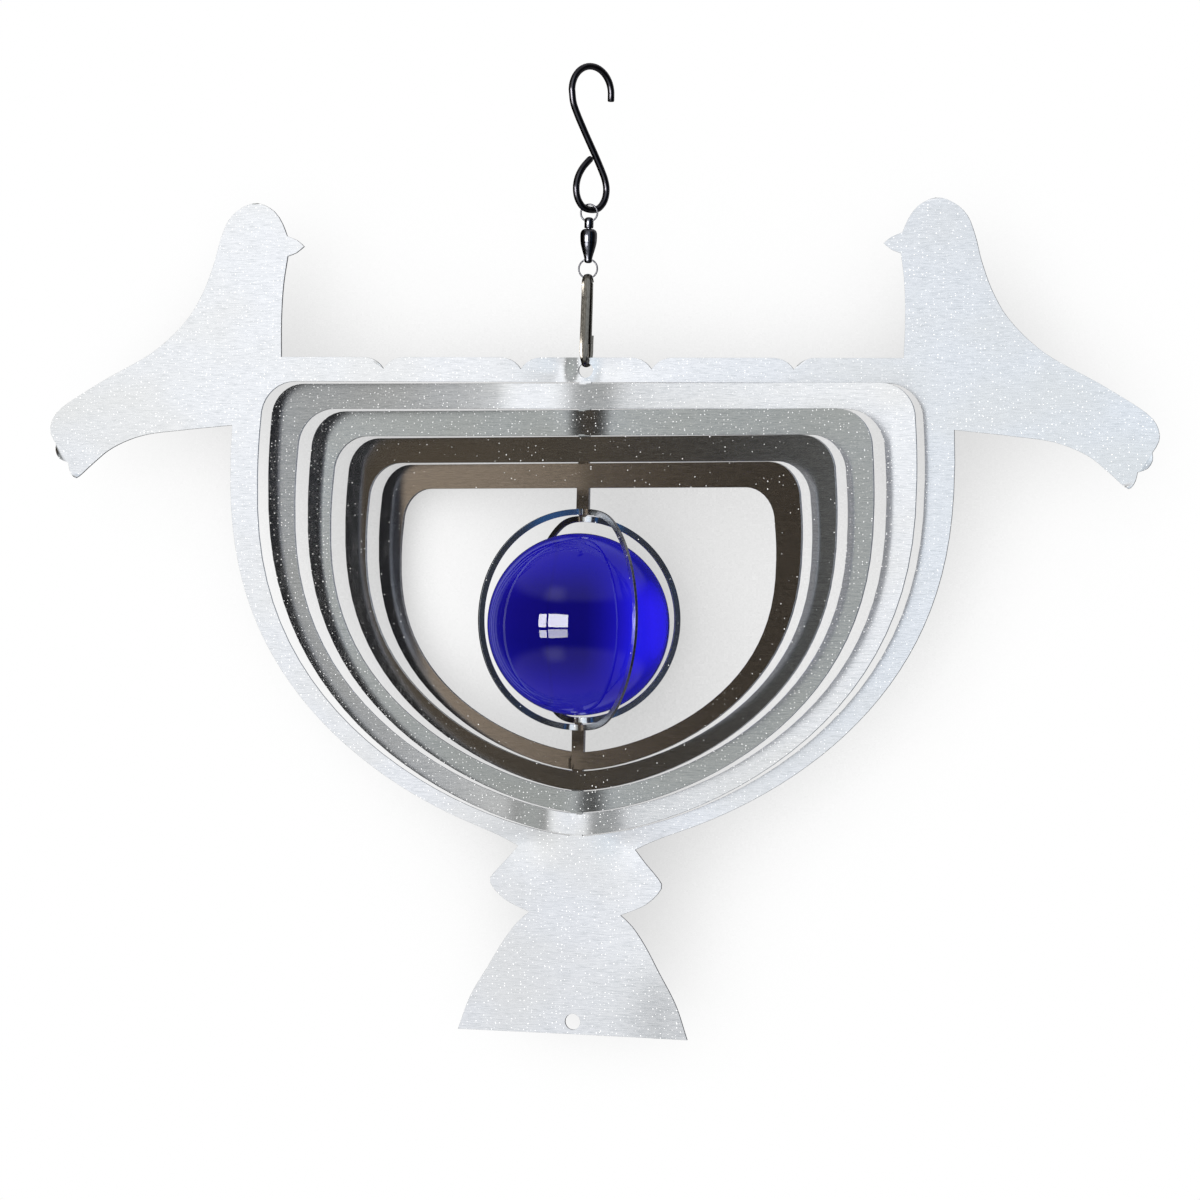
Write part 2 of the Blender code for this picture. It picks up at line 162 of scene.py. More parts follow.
def turned_point(across, depth, height, turn):
    """World point from a distance across a turned plane, a distance out of its back and a height."""
    a = math.radians(turn)
    return Vector((across * math.cos(a) + depth * math.sin(a),
                   -across * math.sin(a) + depth * math.cos(a), height))


def ease(low, high, value):
    """Smooth step from 0 at low to 1 at high."""
    t = min(max((value - low) / (high - low), 0.0), 1.0)
    return t * t * (3 - 2 * t)


def smooth_run(points, step):
    """Points about one step apart on a smooth curve through the given ones (Catmull-Rom)."""
    ends = [Vector(p) for p in points]
    ends = [2 * ends[0] - ends[1]] + ends + [2 * ends[-1] - ends[-2]]
    run = []
    for before, start, end, after in zip(ends, ends[1:], ends[2:], ends[3:]):
        count = max(2, round((end - start).length / step))
        for i in range(count):
            t = i / count
            run.append(0.5 * (2 * start + (end - before) * t
                              + (2 * before - 5 * start + 4 * end - after) * t ** 2
                              + (3 * start - before - 3 * end + after) * t ** 3))
    return run + [ends[-2]]


def arc(centre, radius, start, end, count):
    """Points on a circular arc between two angles in degrees."""
    angles = [math.radians(start + (end - start) * i / count) for i in range(count + 1)]
    return [Vector((centre[0] + radius * math.cos(a), centre[1] + radius * math.sin(a))) for a in angles]


# ---------------------------------------------------------------- shader helpers

class Nodes:
    """Short calls for building one shader tree."""

    def __init__(self, tree):
        self.tree = tree

    def add(self, kind, **settings):
        node = self.tree.nodes.new(kind)
        for key, value in settings.items():
            setattr(node, key, value)
        return node

    def feed(self, socket, value):
        if isinstance(value, bpy.types.NodeSocket):
            self.tree.links.new(value, socket)
        else:
            socket.default_value = value

    def math(self, operation, a, b=0.0, clamp=False):
        node = self.add("ShaderNodeMath", operation=operation, use_clamp=clamp)
        self.feed(node.inputs[0], a)
        self.feed(node.inputs[1], b)
        return node.outputs[0]

    def mix(self, factor, a, b):
        node = self.add("ShaderNodeMix", data_type="RGBA")
        self.feed(node.inputs["Factor"], factor)
        self.feed(node.inputs[6], a)
        self.feed(node.inputs[7], b)
        return node.outputs[2]

    def ramp(self, factor, stops, interpolation="LINEAR"):
        node = self.add("ShaderNodeValToRGB")
        node.color_ramp.interpolation = interpolation
        elements = node.color_ramp.elements
        while len(elements) > 1:
            elements.remove(elements[-1])
        elements[0].position = stops[0][0]
        elements[0].color = (*stops[0][1], 1.0)
        for position, colour in stops[1:]:
            elements.new(position).color = (*colour, 1.0)
        self.feed(node.inputs[0], factor)
        return node.outputs[0]

    def band(self, value, low, high):
        """0 below low to 1 above high."""
        node = self.add("ShaderNodeMapRange", interpolation_type="SMOOTHSTEP")
        self.feed(node.inputs["Value"], value)
        self.feed(node.inputs["From Min"], low)
        self.feed(node.inputs["From Max"], high)
        return node.outputs["Result"]

    def stretched(self, source, scale):
        """Coordinates scaled by different amounts along x, y and z."""
        node = self.add("ShaderNodeMapping")
        self.feed(node.inputs["Vector"], source)
        node.inputs["Scale"].default_value = scale
        return node.outputs["Vector"]

    def noise(self, vector, scale, detail=2.0, rough=0.5):
        node = self.add("ShaderNodeTexNoise")
        self.feed(node.inputs["Vector"], vector)
        node.inputs["Scale"].default_value = scale
        node.inputs["Detail"].default_value = detail
        node.inputs["Roughness"].default_value = rough
        return node.outputs["Fac"]

    def bump(self, shader, height, strength, distance):
        """Fine relief on a shader's surface."""
        node = self.add("ShaderNodeBump")
        node.inputs["Strength"].default_value = strength
        node.inputs["Distance"].default_value = distance
        self.feed(node.inputs["Height"], height)
        self.feed(shader.inputs["Normal"], node.outputs[0])


def principled(name, metallic, roughness):
    """Material with one Principled shader; returns it, its node helper and the shader."""
    mat = bpy.data.materials.new(name)
    mat.use_nodes = True
    shader = mat.node_tree.nodes["Principled BSDF"]
    shader.inputs["Metallic"].default_value = metallic
    shader.inputs["Roughness"].default_value = roughness
    return mat, Nodes(mat.node_tree), shader


# ---------------------------------------------------------------- materials

BRUSH_ROUGHNESS = 0.215
PAINTED_GLINT_CELL = 1.15            # mean distance between painted glints (white specks painted as highlights)
PAINTED_GLINT_SIZE = 0.135           # radius of the largest painted glint, as a share of the cell
# glow of the painted glints: they give off light though they are no lamp
PAINTED_GLINT_GLOW = 0.45
PAINTED_GLINT_FALLOFF = 1.6          # how much commoner small painted glints are than large ones
HAIRLINES = (230, 230, 3600)   # scales of the marks along x, y and z, per metre
SHORT_LINES = (620, 620, 4800)
CLOUDS = (26, 26, 40)
STEEL_SHADES = ((0.32, (0.60, 0.62, 0.64)), (0.5, (0.79, 0.80, 0.825)), (0.66, (0.90, 0.905, 0.92)))
CLOUD_SHADE = (0.74, 0.72, 0.67, 1.0)
# Painted highlights: the near-white colour of the glints and the colour of their glow
PAINTED_GLINT_WHITE = (0.97, 0.97, 0.97, 1.0)
PAINTED_GLINT_GLOW_COLOUR = (1.0, 1.0, 0.97, 1.0)


def brushed_steel(name, painted_glint_share):
    """Bright sheet, brushed along X, with painted glints in a share of its surface's cells: white, self-lit
    specks standing in for highlights.
    """
    mat, n, shader = principled(name, 1.0, BRUSH_ROUGHNESS)
    place = n.add("ShaderNodeTexCoord").outputs["Object"]
    hairlines = n.noise(n.stretched(place, HAIRLINES), 1.0, 3.0, 0.6)
    short_lines = n.noise(n.stretched(place, SHORT_LINES), 1.0, 2.0, 0.5)
    clouds = n.noise(n.stretched(place, CLOUDS), 1.0, 2.0, 0.5)
    grain = n.math("ADD", n.math("MULTIPLY", hairlines, 0.6), n.math("MULTIPLY", short_lines, 0.4))
    steel = n.ramp(grain, STEEL_SHADES)
    steel = n.mix(n.math("MULTIPLY", n.band(clouds, 0.35, 0.7), 0.35), steel, CLOUD_SHADE)

    split = n.add("ShaderNodeSeparateXYZ")
    n.feed(split.inputs[0], place)
    flat = n.add("ShaderNodeCombineXYZ")
    n.feed(flat.inputs[0], split.outputs[0])
    n.feed(flat.inputs[1], split.outputs[2])
    # Painted glints: in a share of the cells a small white, less metallic, duller speck stands in for a
    # highlight
    cells = n.add("ShaderNodeTexVoronoi", voronoi_dimensions="2D", feature="F1")
    n.feed(cells.inputs["Vector"], flat.outputs[0])
    cells.inputs["Scale"].default_value = 1 / (PAINTED_GLINT_CELL * MM)
    lottery = n.add("ShaderNodeSeparateColor")
    n.feed(lottery.inputs[0], cells.outputs["Color"])
    luck = n.math("SUBTRACT", lottery.outputs[0], 1 - painted_glint_share)
    luck = n.math("MAXIMUM", n.math("DIVIDE", luck, painted_glint_share), 0.0)
    size = n.math("MULTIPLY", n.math("POWER", luck, PAINTED_GLINT_FALLOFF), PAINTED_GLINT_SIZE)
    painted_glint_mask = n.math("LESS_THAN", cells.outputs["Distance"], size)
    n.feed(shader.inputs["Base Color"], n.mix(painted_glint_mask, steel, PAINTED_GLINT_WHITE))
    n.feed(shader.inputs["Metallic"], n.math("SUBTRACT", 1.0, n.math("MULTIPLY", painted_glint_mask, 0.85)))
    # the painted glints glow, though they are no lamp
    shader.inputs["Emission Color"].default_value = PAINTED_GLINT_GLOW_COLOUR
    n.feed(shader.inputs["Emission Strength"], n.math("MULTIPLY", painted_glint_mask, PAINTED_GLINT_GLOW))
    rough = n.math("ADD", BRUSH_ROUGHNESS - 0.03, n.math("MULTIPLY", grain, 0.06))
    n.feed(shader.inputs["Roughness"], n.math("ADD", rough, n.math("MULTIPLY", painted_glint_mask, 0.5)))

    shader.inputs["Anisotropic"].default_value = 0.88
    upright = n.add("ShaderNodeCombineXYZ")
    upright.inputs[2].default_value = 1.0
    along = n.add("ShaderNodeVectorTransform", vector_type="VECTOR", convert_from="OBJECT",
                  convert_to="WORLD")
    n.feed(along.inputs[0], upright.outputs[0])
    n.feed(shader.inputs["Tangent"], along.outputs[0])

    n.bump(shader, grain, 0.25, 0.04 * MM)
    return mat


CUT_LINES = (2400, 120, 2400)
CUT_SHADES = ((0.3, (0.16, 0.16, 0.17)), (0.7, (0.40, 0.40, 0.42)))


def cut_edge():
    """Laser-cut edge of the sheet: duller, with fine lines across its thickness."""
    mat, n, shader = principled("cut_edge", 1.0, 0.34)
    place = n.add("ShaderNodeTexCoord").outputs["Object"]
    lines = n.noise(n.stretched(place, CUT_LINES), 1.0, 2.0, 0.5)
    n.feed(shader.inputs["Base Color"], n.ramp(lines, CUT_SHADES))
    n.feed(shader.inputs["Roughness"], n.math("ADD", 0.24, n.math("MULTIPLY", lines, 0.2)))
    return mat


def plated(name, dark, light, roughness, streaks):
    """Nickel-plated wire or strip, polished, with faint drawing marks along one axis."""
    mat, n, shader = principled(name, 1.0, roughness)
    place = n.add("ShaderNodeTexCoord").outputs["Object"]
    marks = n.noise(n.stretched(place, streaks), 1.0, 3.0, 0.6)
    n.feed(shader.inputs["Base Color"], n.ramp(marks, ((0.3, dark), (0.7, light))))
    n.feed(shader.inputs["Roughness"], n.math("ADD", roughness - 0.04, n.math("MULTIPLY", marks, 0.08)))
    n.bump(shader, marks, 0.15, 0.03 * MM)
    return mat


GLASS_SHADES = ((0.35, (0.014, 0.012, 0.86)), (0.65, (0.03, 0.016, 0.94)))
GLASS_CLOUDS = 60.0
GLASS_IOR = 1.5


def cobalt_glass():
    """Solid cobalt glass, clear and polished, with a faint cloud of colour."""
    mat, n, shader = principled("cobalt_glass", 0.0, 0.0)
    shader.inputs["IOR"].default_value = GLASS_IOR
    shader.inputs["Transmission Weight"].default_value = 1.0
    place = n.add("ShaderNodeTexCoord").outputs["Object"]
    cloud = n.noise(place, GLASS_CLOUDS, 2.0, 0.5)
    n.feed(shader.inputs["Base Color"], n.ramp(cloud, GLASS_SHADES))
    return mat


STEEL = brushed_steel("brushed_steel", 1.0)
INNER_STEEL = brushed_steel("brushed_steel_inner", 0.14)
EDGE = cut_edge()
HOOK_METAL = plated("black_wire", (0.045, 0.043, 0.048), (0.075, 0.072, 0.078), 0.2, (900, 900, 160))
SWIVEL_METAL = plated("black_nickel", (0.07, 0.07, 0.08), (0.12, 0.12, 0.13), 0.16, (200, 200, 2000))
RING_METAL = plated("ring_wire", (0.05, 0.05, 0.055), (0.12, 0.12, 0.13), 0.2, (900, 900, 900))
STRIP_METAL = plated("spring_strip", (0.11, 0.10, 0.085), (0.20, 0.185, 0.16), 0.16, (2600, 400, 900))
BEARING_METAL = plated("bearing_steel", (0.6, 0.6, 0.61), (0.75, 0.75, 0.76), 0.1, (400, 400, 400))
GLASS = cobalt_glass()


# ---------------------------------------------------------------- sheet metal

BALL_LEVEL = (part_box("glass_ball")[0].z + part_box("glass_ball")[1].z) / 2
RIM = -0.079                   # height of the sheet's straight upper edge, in metres


def crease_offset(across, centre, half_width, extra_turn):
    """How far a crease moves the sheet towards the front, at a distance from the axis, in metres."""
    reach = half_width * MM
    shape = math.erf((across - centre * MM) / reach) + math.erf(centre * MM / reach)
    return math.radians(extra_turn) * reach * math.sqrt(math.pi) / 2 * shape


def bent_point(across, depth, height, turns, creases):
    """World place of a point of the flat sheet after its halves are turned and its creases pressed in."""
    left, right = turns
    share = ease(-BEND_REACH * MM, BEND_REACH * MM, across)
    turn = left + (right - left) * share
    place = turned_point(across, depth, height, turn)
    drop = (RIM - height) / MM
    for (level, half_height), centre, half_width, extra_turn, reach in creases:
        strength = math.exp(-((drop - level) / half_height) ** 2 - (across / (reach * MM)) ** 2)
        place.y -= strength * crease_offset(across, centre, half_width, extra_turn)
    return place


def flattened_front(node, turns):
    """Front face of a plate's CAD solid, laid flat again, as a bmesh in the sheet's own plane."""
    bm = bmesh.new()
    bm.from_mesh(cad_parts[node].data)
    bmesh.ops.remove_doubles(bm, verts=bm.verts, dist=1e-6)
    mean = sum(turns) / 2
    for vert in bm.verts:
        vert.co.rotate(Matrix.Rotation(math.radians(mean), 3, "Z"))
        if abs(vert.co.x) > 1e-5:
            half = turns[1] if vert.co.x > 0 else turns[0]
            vert.co.rotate(Matrix.Rotation(math.radians(half - mean), 3, "Z"))
    bm.normal_update()
    bmesh.ops.delete(bm, geom=[f for f in bm.faces if f.normal.y > -0.9], context="FACES")
    for vert in bm.verts:
        vert.co.y = -SHEET_THICKNESS / 2 * MM
    return bm


def cut_for_bending(bm):
    """Lines across the sheet, close together near the axis, so that it can bend there."""
    fine = list(range(-NEAR_AXIS, NEAR_AXIS + 1))
    coarse = [side * (NEAR_AXIS + i * COARSE_STEP) for side in (-1, 1) for i in range(1, COARSE_COUNT)]
    upright = [((x * MM, 0, 0), (1, 0, 0)) for x in fine + coarse]
    level = [((0, 0, RIM - drop * MM), (0, 0, 1)) for drop in CUT_DROPS]
    for place, normal in upright + level:
        parts = bm.verts[:] + bm.edges[:] + bm.faces[:]
        bmesh.ops.bisect_plane(bm, geom=parts, plane_co=place, plane_no=normal)
    bmesh.ops.remove_doubles(bm, verts=bm.verts, dist=LOOSE_ENDS * MM)


def bent_plate(node, body, cad_turns, turns):
    """Plate with its real thickness, bent near its bridges, in place of the CAD solid."""
    bm = flattened_front(node, cad_turns)
    cut_for_bending(bm)
    back = bmesh.ops.extrude_face_region(bm, geom=bm.faces[:])
    verts = [item for item in back["geom"] if isinstance(item, bmesh.types.BMVert)]
    bmesh.ops.translate(bm, verts=verts, vec=(0, SHEET_THICKNESS * MM, 0))
    bmesh.ops.recalc_face_normals(bm, faces=bm.faces)
    bm.normal_update()
    for face in bm.faces:
        face.material_index = 0 if abs(face.normal.y) > 0.5 else 1
    creases = [crease[1:] for crease in CREASES if crease[0] == node]
    for vert in bm.verts:
        vert.co = bent_point(*vert.co, turns, creases)
    steel = STEEL if node in ("frame_plate", "ring_1", "ring_2") else INNER_STEEL
    piece = new_piece(node + "_sheet", bm, (steel, EDGE), smooth_angle=50)
    round_edges(piece, EDGE_ROUNDING * MM)
    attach(piece, body)
    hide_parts(node)


def twisted_strip(name, width, top, bottom, top_turn, bottom_turn):
    """Strip of sheet on the axis that twists from one turn to the next; heights in metres."""
    bm = bmesh.new()
    steps = max(STRIP_STEPS, round(abs(top - bottom) / (STRIP_STEP * MM)))
    half = width / 2 * MM
    deep = SHEET_THICKNESS / 2 * MM
    corners = ((-half, -deep), (half, -deep), (half, deep), (-half, deep))
    rows = []
    for i in range(steps + 1):
        share = i / steps
        turn = top_turn + (bottom_turn - top_turn) * share
        height = top + (bottom - top) * share
        rows.append([bm.verts.new(turned_point(x, y, height, turn)) for x, y in corners])
    for upper, lower in zip(rows, rows[1:]):
        for i in range(4):
            side = bm.faces.new((upper[i], upper[(i + 1) % 4], lower[(i + 1) % 4], lower[i]))
            side.material_index = i % 2
    for end in (rows[0], rows[-1]):
        bm.faces.new(end).material_index = 1
    bmesh.ops.recalc_face_normals(bm, faces=bm.faces)
    piece = new_piece(name, bm, (INNER_STEEL, EDGE))
    return piece


def hoop_turn(across, above, bends):
    """Turn of a cage hoop at a distance across from the axis, in millimetres."""
    turn, upper_reach, lower_reach, curl = bends[0] if across < 0 else bends[1]
    reach = upper_reach if above else lower_reach
    share = 1 - math.exp(-(abs(across) / reach) ** HOOP_SHARPNESS)
    return CAGE_AXIS_TURN + (turn - CAGE_AXIS_TURN) * share + curl * (across / CAGE_RADIUS) ** 2


def cage_hoop(node, body, outer_radius, bends):
    """Hoop of the cage, cut from the sheet and bent about the axis; returns the height of its centre."""
    low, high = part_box(node)
    centre = (low.z + high.z) / 2
    bm = bmesh.new()
    inner = outer_radius - CAGE_HOOP_WIDTH
    deep = SHEET_THICKNESS / 2
    section = ((inner, -deep), (outer_radius, -deep), (outer_radius, deep), (inner, deep))
    rings = []
    for i in range(HOOP_STEPS):
        angle = math.tau * i / HOOP_STEPS
        turn = hoop_turn((inner + outer_radius) / 2 * math.sin(angle), math.cos(angle) > 0, bends)
        rings.append([bm.verts.new(turned_point(radius * math.sin(angle) * MM, depth * MM,
                                                centre + radius * math.cos(angle) * MM, turn))
                      for radius, depth in section])
    for ring, after in zip(rings, rings[1:] + rings[:1]):
        for i in range(4):
            side = bm.faces.new((ring[i], ring[(i + 1) % 4], after[(i + 1) % 4], after[i]))
            side.material_index = i % 2
    bmesh.ops.recalc_face_normals(bm, faces=bm.faces)
    piece = new_piece(node + "_sheet", bm, (INNER_STEEL, EDGE), smooth_angle=50)
    round_edges(piece, EDGE_ROUNDING * MM)
    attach(piece, body)
    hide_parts(node)
    return centre


def bridges():
    """Twisted bridges that join each plate to the next across the laser cut."""
    for (node, body, _, turns), (inner, inner_body, _, inner_turns) in zip(PLATES, PLATES[1:]):
        low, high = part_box(inner)
        outer_turn = sum(turns) / 2
        inner_turn = sum(inner_turns) / 2
        overlap = OVERLAP * MM
        for where, edge, upward in (("top", high.z, 1), ("bottom", low.z, -1)):
            outside = edge + upward * (KERF * MM + overlap)
            inside = edge - upward * overlap
            name = f"bridge_{where}_{inner}"
            piece = twisted_strip(name, BRIDGE_WIDTH, outside, inside, outer_turn, inner_turn)
            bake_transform(piece)


def cage():
    """Both hoops, the necks that carry them and the bridges between them."""
    centre = cage_hoop("cage_outer_ring", "cage_outer", CAGE_RADIUS, CAGE_OUTER_BENDS)
    inner_radius = CAGE_RADIUS - CAGE_HOOP_WIDTH - KERF
    cage_hoop("cage_inner_ring", "cage_inner", inner_radius, CAGE_INNER_BENDS)
    ring_turn = sum(PLATES[-1][3]) / 2
    for where, node, sign in (("top", "upper_neck", 1), ("bottom", "lower_neck", -1)):
        low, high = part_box(node)
        outside = high.z if sign > 0 else low.z
        inside = centre + sign * (CAGE_RADIUS - OVERLAP) * MM
        outside += sign * NECK_INTO_RING * MM
        neck = twisted_strip(node + "_sheet", NECK_WIDTH, outside, inside, ring_turn, CAGE_AXIS_TURN)
        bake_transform(neck)
        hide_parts(node)
        start = centre + sign * (CAGE_RADIUS - CAGE_HOOP_WIDTH + OVERLAP) * MM
        end = centre + sign * (inner_radius - OVERLAP) * MM
        bridge = twisted_strip(f"bridge_{where}_cage", CAGE_BRIDGE_WIDTH, start, end, CAGE_AXIS_TURN,
                               CAGE_AXIS_TURN)
        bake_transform(bridge)


def glass_ball():
    """Solid glass ball, lying loose in its cage."""
    low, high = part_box("glass_ball")
    bm = bmesh.new()
    bmesh.ops.create_icosphere(bm, subdivisions=6, radius=(high.z - low.z) / 2)
    bmesh.ops.translate(bm, verts=bm.verts, vec=(low + high) / 2)
    piece = new_piece("cobalt_ball", bm, (GLASS,), smooth_angle=180)
    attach(piece, "ball")
    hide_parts("glass_ball")
    piece.visible_diffuse = False
    return piece


# ---------------------------------------------------------------- hardware

def tube(name, route, radii, mat):
    """Round wire along a route of world points in millimetres."""
    curve = bpy.data.curves.new(name, "CURVE")
    curve.dimensions = "3D"
    curve.bevel_depth = MM
    curve.bevel_resolution = 8
    curve.use_fill_caps = True
    spline = curve.splines.new("POLY")
    spline.points.add(len(route) - 1)
    for point, place, radius in zip(spline.points, route, radii):
        point.co = (*(place * MM), 1.0)
        point.radius = radius
    spline.use_smooth = True
    obj = bpy.data.objects.new(name, curve)
    curve.materials.append(mat)
    bpy.context.scene.collection.objects.link(obj)
    return obj


# The hook's shank and teardrop eye: distance across its plane and height above the sheet's rim
HOOK_SHANK = (
    (-6.4, 69.4), (-4.9, 66.3), (-2.8, 62.8), (-0.6, 59.3), (1.85, 55.5), (3.9, 52.1), (5.4, 49.2),
    (6.0, 46.3), (5.3, 43.4), (3.3, 41.2), (0.5, 40.6), (-2.3, 41.2), (-4.2, 43.4), (-4.8, 46.3),
    (-4.2, 49.2), (-2.5, 52.0), (0.3, 54.8))
HOOK_TIP_LENGTH = 2.0
HOOK_END_SIZE = 0.8            # the wire's two ends are a little thinner


def hook_route():
    """Centre line of the hanger wire: distance across its plane and height, both in millimetres."""
    crown = HOOK_WIRE - HOOK_RADIUS
    rim = RIM / MM
    shank = [(-HOOK_RADIUS, crown)] + [(across, above + rim) for across, above in HOOK_SHANK]
    tip = [Vector((HOOK_RADIUS, crown - drop)) for drop in (HOOK_TIP_LENGTH, HOOK_TIP_LENGTH - 0.2)]
    return tip + arc((0.0, crown), HOOK_RADIUS, 0, 180, 36) + smooth_run(shank, 0.6)[1:]


def hanger_hook():
    """S-hook of black nickel wire: open hook above, teardrop eye below."""
    turn = math.radians(HOOK_TURN)
    route = [Vector((p.x * math.cos(turn), p.x * math.sin(turn), p.y)) for p in hook_route()]
    radii = [HOOK_WIRE] * len(route)
    radii[0] = HOOK_WIRE * HOOK_END_SIZE
    radii[-1] = HOOK_WIRE * HOOK_END_SIZE
    piece = tube("hook_wire", route, radii, HOOK_METAL)
    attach(piece, "hanger")
    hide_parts("hanger_hook")
    return piece


RING_STEPS = 72
WIRE_STEPS = 16


def wire_ring(node, body, wire_radius):
    """Closed ring of bright wire in place of a CAD ring that stands in the sheet's plane."""
    low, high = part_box(node)
    centre = (low + high) / 2
    mean_radius = (high.z - low.z) / 2 - wire_radius * MM
    bm = bmesh.new()
    rows = []
    for i in range(RING_STEPS):
        angle = math.tau * i / RING_STEPS
        out = Vector((math.sin(angle), 0, math.cos(angle)))
        row = []
        for j in range(WIRE_STEPS):
            around = math.tau * j / WIRE_STEPS
            place = out * (mean_radius + wire_radius * MM * math.cos(around))
            row.append(bm.verts.new(centre + place + Vector((0, wire_radius * MM * math.sin(around), 0))))
        rows.append(row)
    for row, after in zip(rows, rows[1:] + rows[:1]):
        for j in range(WIRE_STEPS):
            beside = (j + 1) % WIRE_STEPS
            bm.faces.new((row[j], row[beside], after[beside], after[j]))
    bmesh.ops.recalc_face_normals(bm, faces=bm.faces)
    piece = new_piece(node + "_wire", bm, (RING_METAL,))
    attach(piece, body)
    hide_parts(node)
    return piece


SPIN_STEPS = 64
SWIVEL_ROUNDING = 0.06
CHANNEL_STEPS = 48
BORE_STEPS = 14


def turned_piece(node, body, profile, ring_node, wire_radius):
    """Polished turned piece of the swivel, with the channel that its ring passes through."""
    bm = bmesh.new()
    rim = RIM / MM
    verts = [bm.verts.new((r * MM, 0, (z + rim) * MM)) for r, z in profile]
    edges = [bm.edges.new(pair) for pair in zip(verts, verts[1:])]
    bmesh.ops.spin(bm, geom=verts + edges, cent=(0, 0, 0), axis=(0, 0, 1), angle=math.tau,
                   steps=SPIN_STEPS, use_merge=True)
    bmesh.ops.remove_doubles(bm, verts=bm.verts, dist=1e-6)
    bmesh.ops.recalc_face_normals(bm, faces=bm.faces)
    piece = new_piece(node + "_turned", bm, (SWIVEL_METAL,), smooth_angle=50)
    round_edges(piece, SWIVEL_ROUNDING * MM, segments=3, angle=35)
    low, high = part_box(ring_node)
    bm = bmesh.new()
    mean = (high.z - low.z) / 2 - wire_radius * MM
    bore = (wire_radius + CHANNEL_CLEARANCE) * MM
    angles = [math.tau * i / BORE_STEPS for i in range(BORE_STEPS)]
    verts = [bm.verts.new((mean + bore * math.cos(a), bore * math.sin(a), 0)) for a in angles]
    edges = [bm.edges.new(pair) for pair in zip(verts, verts[1:] + verts[:1])]
    bmesh.ops.spin(bm, geom=verts + edges, cent=(0, 0, 0), axis=(0, 1, 0), angle=math.tau,
                   steps=CHANNEL_STEPS, use_merge=True)
    bmesh.ops.remove_doubles(bm, verts=bm.verts, dist=1e-6)
    bmesh.ops.translate(bm, verts=bm.verts, vec=(low + high) / 2)
    bmesh.ops.recalc_face_normals(bm, faces=bm.faces)
    cutter = new_piece(node + "_channel", bm, (SWIVEL_METAL,))
    cutter.hide_render = True
    cutter.hide_viewport = True
    channel = piece.modifiers.new("ring channel", "BOOLEAN")
    channel.operation = "DIFFERENCE"
    channel.object = cutter
    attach(piece, body)
    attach(cutter, body)
    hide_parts(node)
    return piece


# Half sections of the swivel's stem and barrel: radius and height above the sheet's rim
STEM_PROFILE = (
    (0.0, 38.5), (0.5, 38.47), (0.85, 38.35), (1.1, 38.15), (1.22, 37.9), (1.25, 37.6), (1.25, 35.75),
    (1.15, 35.5), (0.7, 35.5), (0.7, 32.55), (1.6, 32.55), (1.6, 32.1), (1.0, 31.4), (0.0, 31.4))
BARREL_PROFILE = (
    (0.0, 25.9), (0.5, 25.92), (0.85, 26.05), (1.03, 26.3), (1.06, 26.8), (1.12, 27.3), (1.42, 28.4),
    (1.75, 29.5), (1.98, 30.4), (2.17, 31.2), (2.26, 32.0), (2.3, 32.9), (2.3, 33.7), (2.24, 34.25),
    (2.05, 34.7), (1.75, 35.0), (1.45, 35.2), (0.95, 35.2), (0.95, 33.8), (1.9, 33.8), (1.9, 31.4),
    (1.2, 29.4), (0.0, 29.4))
UPPER_WIRE = 0.25
LOWER_WIRE = 0.235
CHANNEL_CLEARANCE = 0.25
BEARING_BALLS = 8

CROWN_SHARES = (-1.0, -0.8, -0.45, 0.0, 0.45, 0.8, 1.0)


def crowned_strip(name, route, thickness, width_at, crown, mat):
    """Strip bent square to the sheet, its faces slightly crowned across; the route is front, height in mm."""
    bm = bmesh.new()
    rows = []
    rim = RIM / MM
    for i, point in enumerate(route):
        ahead = route[min(i + 1, len(route) - 1)] - route[max(i - 1, 0)]
        normal = Vector((-ahead.y, ahead.x)).normalized()
        half = width_at(point) / 2
        row = []
        for side in (1, -1):
            for share in CROWN_SHARES if side == 1 else CROWN_SHARES[::-1]:
                lift = thickness / 2 - crown * share ** 2
                front, height = point + normal * lift * side
                row.append(bm.verts.new((share * half * MM, -front * MM, (height + rim) * MM)))
        rows.append(row)
    count = len(rows[0])
    for upper, lower in zip(rows, rows[1:]):
        for i in range(count):
            bm.faces.new((upper[i], upper[(i + 1) % count], lower[(i + 1) % count], lower[i]))
    bm.faces.new(rows[0])
    bm.faces.new(rows[-1])
    bmesh.ops.recalc_face_normals(bm, faces=bm.faces)
    piece = new_piece(name, bm, (mat,), smooth_angle=50)
    return piece


# The snap's strip: routes are in front of the axis and above the sheet's rim
SNAP_LEG = 2.65                # radius of the bend that passes through the sheet's hole
SNAP_BEND = 0.3                # height of that bend's centre
SNAP_EYE = (1.85, 20.8)        # radius and height of the eye
SNAP_THICKNESS = 0.7
SNAP_WIDTH = 2.4
SNAP_CROWN = 0.26
SNAP_BEAK = ((-2.85, 6.2), (-2.65, 4.6), (-SNAP_LEG, SNAP_BEND))
SNAP_BACK = ((SNAP_LEG, SNAP_BEND), (2.6, 5.0), (2.15, 12.0), (1.8, 17.5), (SNAP_EYE[0] - 0.1, SNAP_EYE[1]))
DRAWN_IN_BELOW = 1.5
GATE_ROOT = -1.95
GATE_THICKNESS = 0.5
GATE_WIDTH = 2.0
GATE_CROWN = 0.12
GATE_BENDS = ((-1.9, 15.0), (-1.7, 8.0), (-1.6, 3.9))
FLEX_WIDTH = 1.8
FLEX_STEPS = 5


def snap_width(point):
    """The strip is drawn in where it passes through the sheet's hole and over the swivel's ring."""
    if point.y < DRAWN_IN_BELOW:
        return SNAP_WIDTH - 0.7 * min(1.0, (DRAWN_IN_BELOW - point.y) / 3.0)
    if point.y > SNAP_EYE[1]:
        return SNAP_WIDTH - 0.6 * min(1.0, (point.y - SNAP_EYE[1]) / SNAP_EYE[0])
    return SNAP_WIDTH


